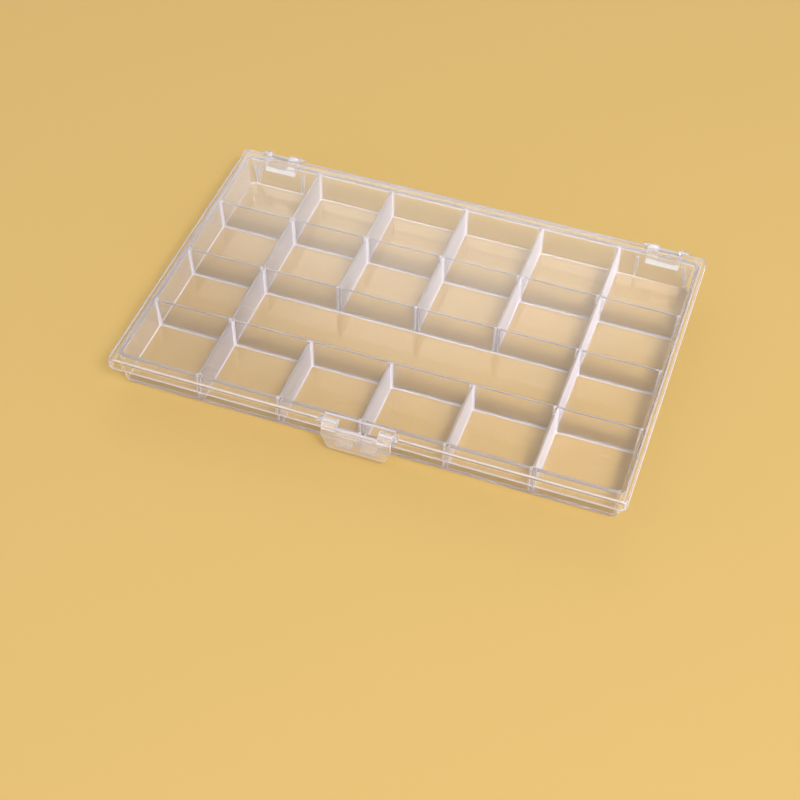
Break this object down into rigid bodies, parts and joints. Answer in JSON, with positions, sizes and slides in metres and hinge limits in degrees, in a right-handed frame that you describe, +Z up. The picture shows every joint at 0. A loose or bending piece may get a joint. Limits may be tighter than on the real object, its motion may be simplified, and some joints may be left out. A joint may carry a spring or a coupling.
{
  "type": "bobbin box",
  "caption": "Flat clear plastic box with moulded compartments for sewing bobbins, closed by an overlapping lid on pinned back hinges and a pinned flap latch.",
  "frame": {"origin": "middle of the tray's flat underside, which rests on the table", "axes": "+X along the box's length, +Y from the latch at the front to the hinges at the back, +Z up"},
  "size_m": [0.24, 0.1638, 0.0192],
  "materials": {
    "tray_plastic": "clear polished polystyrene, moulded",
    "lid_plastic": "clear polished polystyrene with light handling marks",
    "latch_plastic": "clear polished polystyrene, moulded",
    "pin_steel": "plain drawn steel wire"
  },
  "bodies": {
    "tray": {"base_tray": "tray_plastic", "divider_row_back": "tray_plastic", "divider_row_middle": "tray_plastic", "divider_row_front": "tray_plastic", "divider_column_1": "tray_plastic", "divider_column_2": "tray_plastic", "divider_column_3": "tray_plastic", "divider_column_4": "tray_plastic", "divider_column_5": "tray_plastic"},
    "lid": {"lid": "lid_plastic", "hinge_pin_left": "pin_steel", "hinge_pin_right": "pin_steel", "latch_pin": "pin_steel"},
    "latch": {"latch": "latch_plastic"}
  },
  "joints": [
    {"name": "lid_hinge", "type": "hinge", "parent": "tray", "child": "lid", "pos_m": [0, 0.07936, 0.0165], "axis": [-1, 0, 0], "range_deg": [0, 180]},
    {"name": "latch_pivot", "type": "hinge", "parent": "lid", "child": "latch", "pos_m": [0, -0.07804, 0.017], "axis": [-1, 0, 0], "range_deg": [0, 120]}
  ]
}
